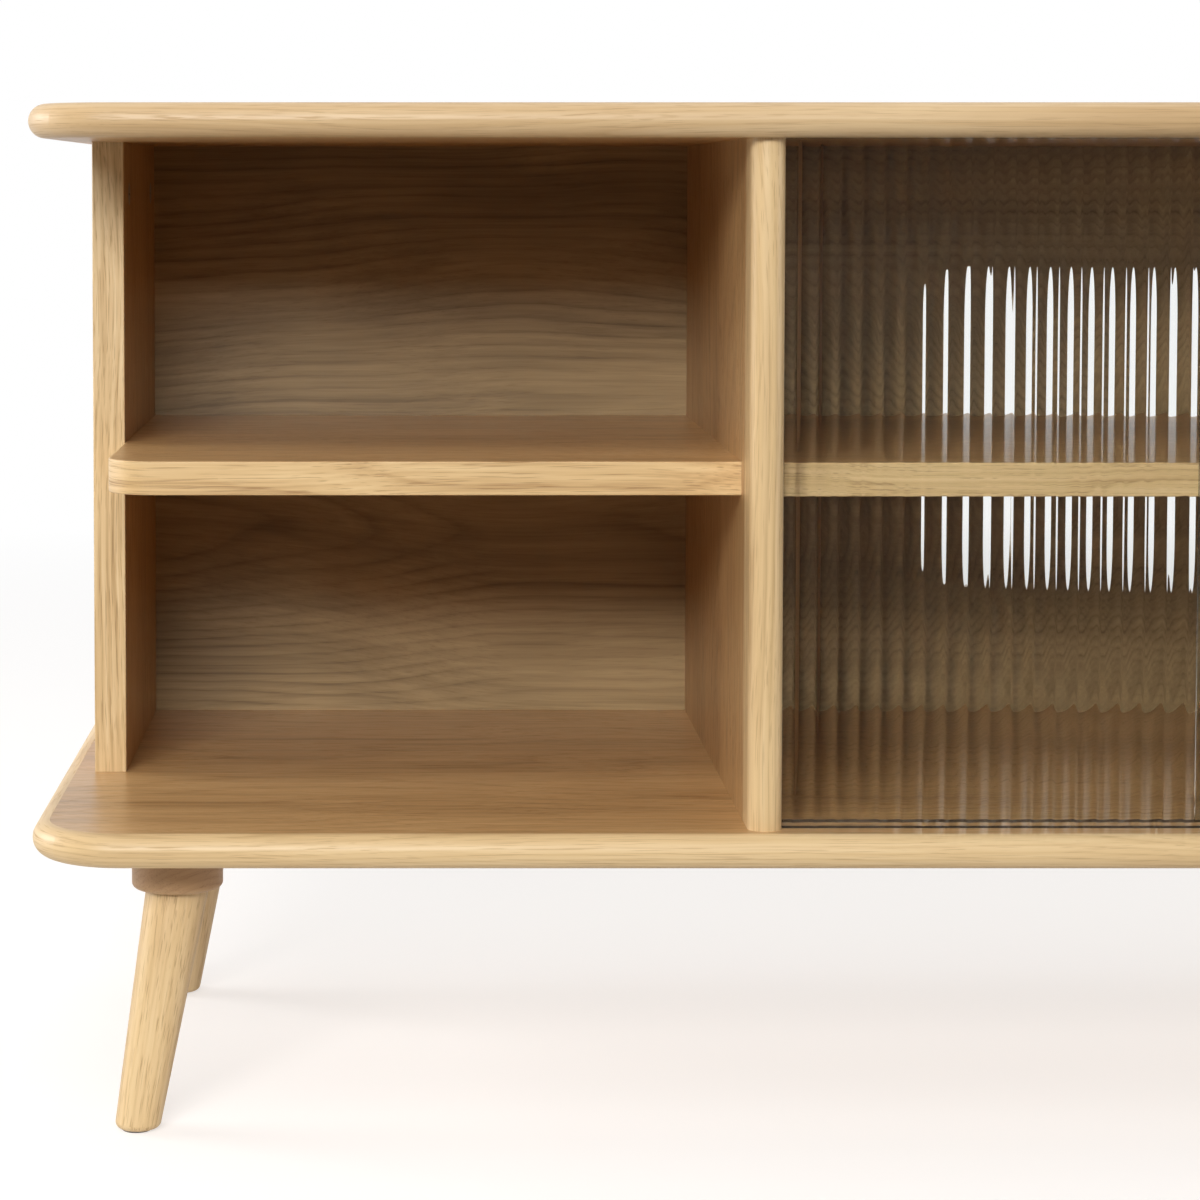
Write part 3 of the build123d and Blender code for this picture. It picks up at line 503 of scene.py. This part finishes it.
# The floor also glows for rays other than the camera's: painted bounce light from the floor onto
# the object.
FLOOR_GLOW = (1.0, 0.985, 0.975)
GLOW_LIT, GLOW_SEEN = 0.22, 0.60      # strength for other rays and for the camera
FADE_FROM, FADE_TO = 0.7, 3.2         # distance over which the floor turns plain white
AHEAD_TONE = (1.0, 0.86, 0.72)
AHEAD_LEFT, AHEAD_RIGHT = (-2.4, 0.26), (-0.7, 0.06)      # X, strength of the dim floor
AHEAD_FULL, AHEAD_START = -0.9, -0.4                      # Y where it takes over
HORIZON = 0.25
WORLD_FRONT, WORLD_BACK = 0.05, 0.5

WARM, SOFT_WARM, WHITE = (1.0, 0.985, 0.96), (1.0, 0.99, 0.97), (1.0, 1.0, 1.0)
# Name, place, aim, size, watts and colour of each soft rectangular light.
LAMPS = (
    ("front_soft_box", (-1.15, -3.2, 1.65), (-0.2, 0.0, 0.4), (1.8, 0.75), 90.0, WARM),
    ("high_soft_box", (-0.9, -1.9, 2.7), (-0.1, 0.0, 0.3), (2.0, 1.2), 18.0, SOFT_WARM),
    ("side_fill", (3.2, -0.7, 0.8), (0.0, -0.25, 0.4), (1.4, 1.4), 30.0, WHITE),
    ("left_soft_box", (-3.0, 0.6, 1.0), (-0.7, 0.0, 0.3), (1.4, 1.2), 34.0, WHITE),
    ("top_soft_box", (0.0, 0.4, 3.2), (0.0, 0.0, 0.3), (3.0, 2.2), 12.0, WHITE),
)

CAMERA_PLACE = (-0.4775, -1.9832, 0.5616)
CAMERA_DIP = 2.98                     # degrees below level
CAMERA_LENS, CAMERA_SENSOR = 93.0, 36.0
CAMERA_SHIFT = (0.1583, -0.2123)


def floor():
    """Large pale floor that fades to plain white far from the object.

    Reflections see it dim in front of the object and paler on the left, like a studio that
    is lit round the set only, so that the glass isn't veiled.
    """
    s = Shader("pale_floor")
    cloud = s.noise(s.place, FLOOR_CLOUD, detail=3.0)
    grain = s.noise(s.place, FLOOR_GRAIN, detail=2.0)
    s.set(Base_Color=s.ramp(cloud.outputs[0], tuple(zip((0.3, 0.7), FLOOR_TONES))),
          Roughness=s.span(grain.outputs[0], 0.3, 0.7, 0.75, 0.85))
    s.surface.inputs["Specular IOR Level"].default_value = 0.2
    s.surface.inputs["Emission Color"].default_value = (*FLOOR_GLOW, 1.0)
    seen = s.add("ShaderNodeLightPath").outputs["Is Camera Ray"]
    s.wire(s.span(seen, 0.0, 1.0, GLOW_LIT, GLOW_SEEN), s.surface.inputs["Emission Strength"])
    white = s.add("ShaderNodeEmission")
    far = s.span(s.vector("LENGTH", s.place), FADE_FROM, FADE_TO)
    plain = s.mix_shader(far, s.surface.outputs[0], white.outputs[0])
    x, y, _ = s.split(s.place)
    dim = s.add("ShaderNodeEmission")
    dim.inputs["Color"].default_value = (*AHEAD_TONE, 1.0)
    strength = s.span(x, AHEAD_LEFT[0], AHEAD_RIGHT[0], AHEAD_LEFT[1], AHEAD_RIGHT[1])
    s.wire(strength, dim.inputs["Strength"])
    ahead = s.math("MULTIPLY", s.span(y, AHEAD_FULL, AHEAD_START, 1.0, 0.0),
                   s.math("SUBTRACT", 1.0, seen))
    s.wire(s.mix_shader(ahead, plain, dim.outputs[0]), s.out.inputs["Surface"])
    corners = ((-1, -1), (1, -1), (1, 1), (-1, 1))
    mesh = bpy.data.meshes.new("floor")
    mesh.from_pydata([(x * FLOOR_HALF, y * FLOOR_HALF, 0) for x, y in corners], [], [(0, 1, 2, 3)])
    mesh.materials.append(s.material)
    plane = bpy.data.objects.new("floor", mesh)
    bpy.context.scene.collection.objects.link(plane)


def world():
    """White to the camera and, behind the object, to glass and sheen; otherwise weaker."""
    space = bpy.data.worlds.new("studio")
    bpy.context.scene.world = space
    space.use_nodes = True
    n = Nodes(space.node_tree)
    back = n.tree.nodes["Background"]
    back.inputs["Color"].default_value = (1, 1, 1, 1)
    _, y, _ = n.split(n.add("ShaderNodeTexCoord").outputs["Generated"])
    rays = n.add("ShaderNodeLightPath").outputs
    light = n.span(y, -HORIZON, HORIZON, WORLD_FRONT, WORLD_BACK)
    bent = n.math("MAXIMUM", rays["Is Transmission Ray"], rays["Is Glossy Ray"])
    through = n.math("MULTIPLY", bent, n.math("GREATER_THAN", y, 0.0))
    direct = n.math("MAXIMUM", rays["Is Camera Ray"], through)
    n.wire(n.math("MAXIMUM", light, direct), back.inputs["Strength"])


def lamp(name, place, aim, size, power, colour):
    """Soft rectangular light aimed at a point of the object, unseen through the glass."""
    data = bpy.data.lights.new(name, "AREA")
    data.shape, data.size, data.size_y = "RECTANGLE", size[0], size[1]
    data.energy, data.color = power, colour
    light = bpy.data.objects.new(name, data)
    light.location = place
    light.rotation_euler = (Vector(aim) - Vector(place)).to_track_quat("-Z", "Y").to_euler()
    light.visible_camera = light.visible_transmission = False
    bpy.context.scene.collection.objects.link(light)


floor()
world()
for row in LAMPS:
    lamp(*row)

camera_data = bpy.data.cameras.new("camera")
camera_data.lens, camera_data.sensor_width = CAMERA_LENS, CAMERA_SENSOR
camera_data.shift_x, camera_data.shift_y = CAMERA_SHIFT
camera = bpy.data.objects.new("camera", camera_data)
camera.location = CAMERA_PLACE
camera.rotation_euler = (math.radians(90 - CAMERA_DIP), 0, 0)
bpy.context.scene.collection.objects.link(camera)
bpy.context.scene.camera = camera
bpy.context.scene.view_settings.view_transform = "Standard"
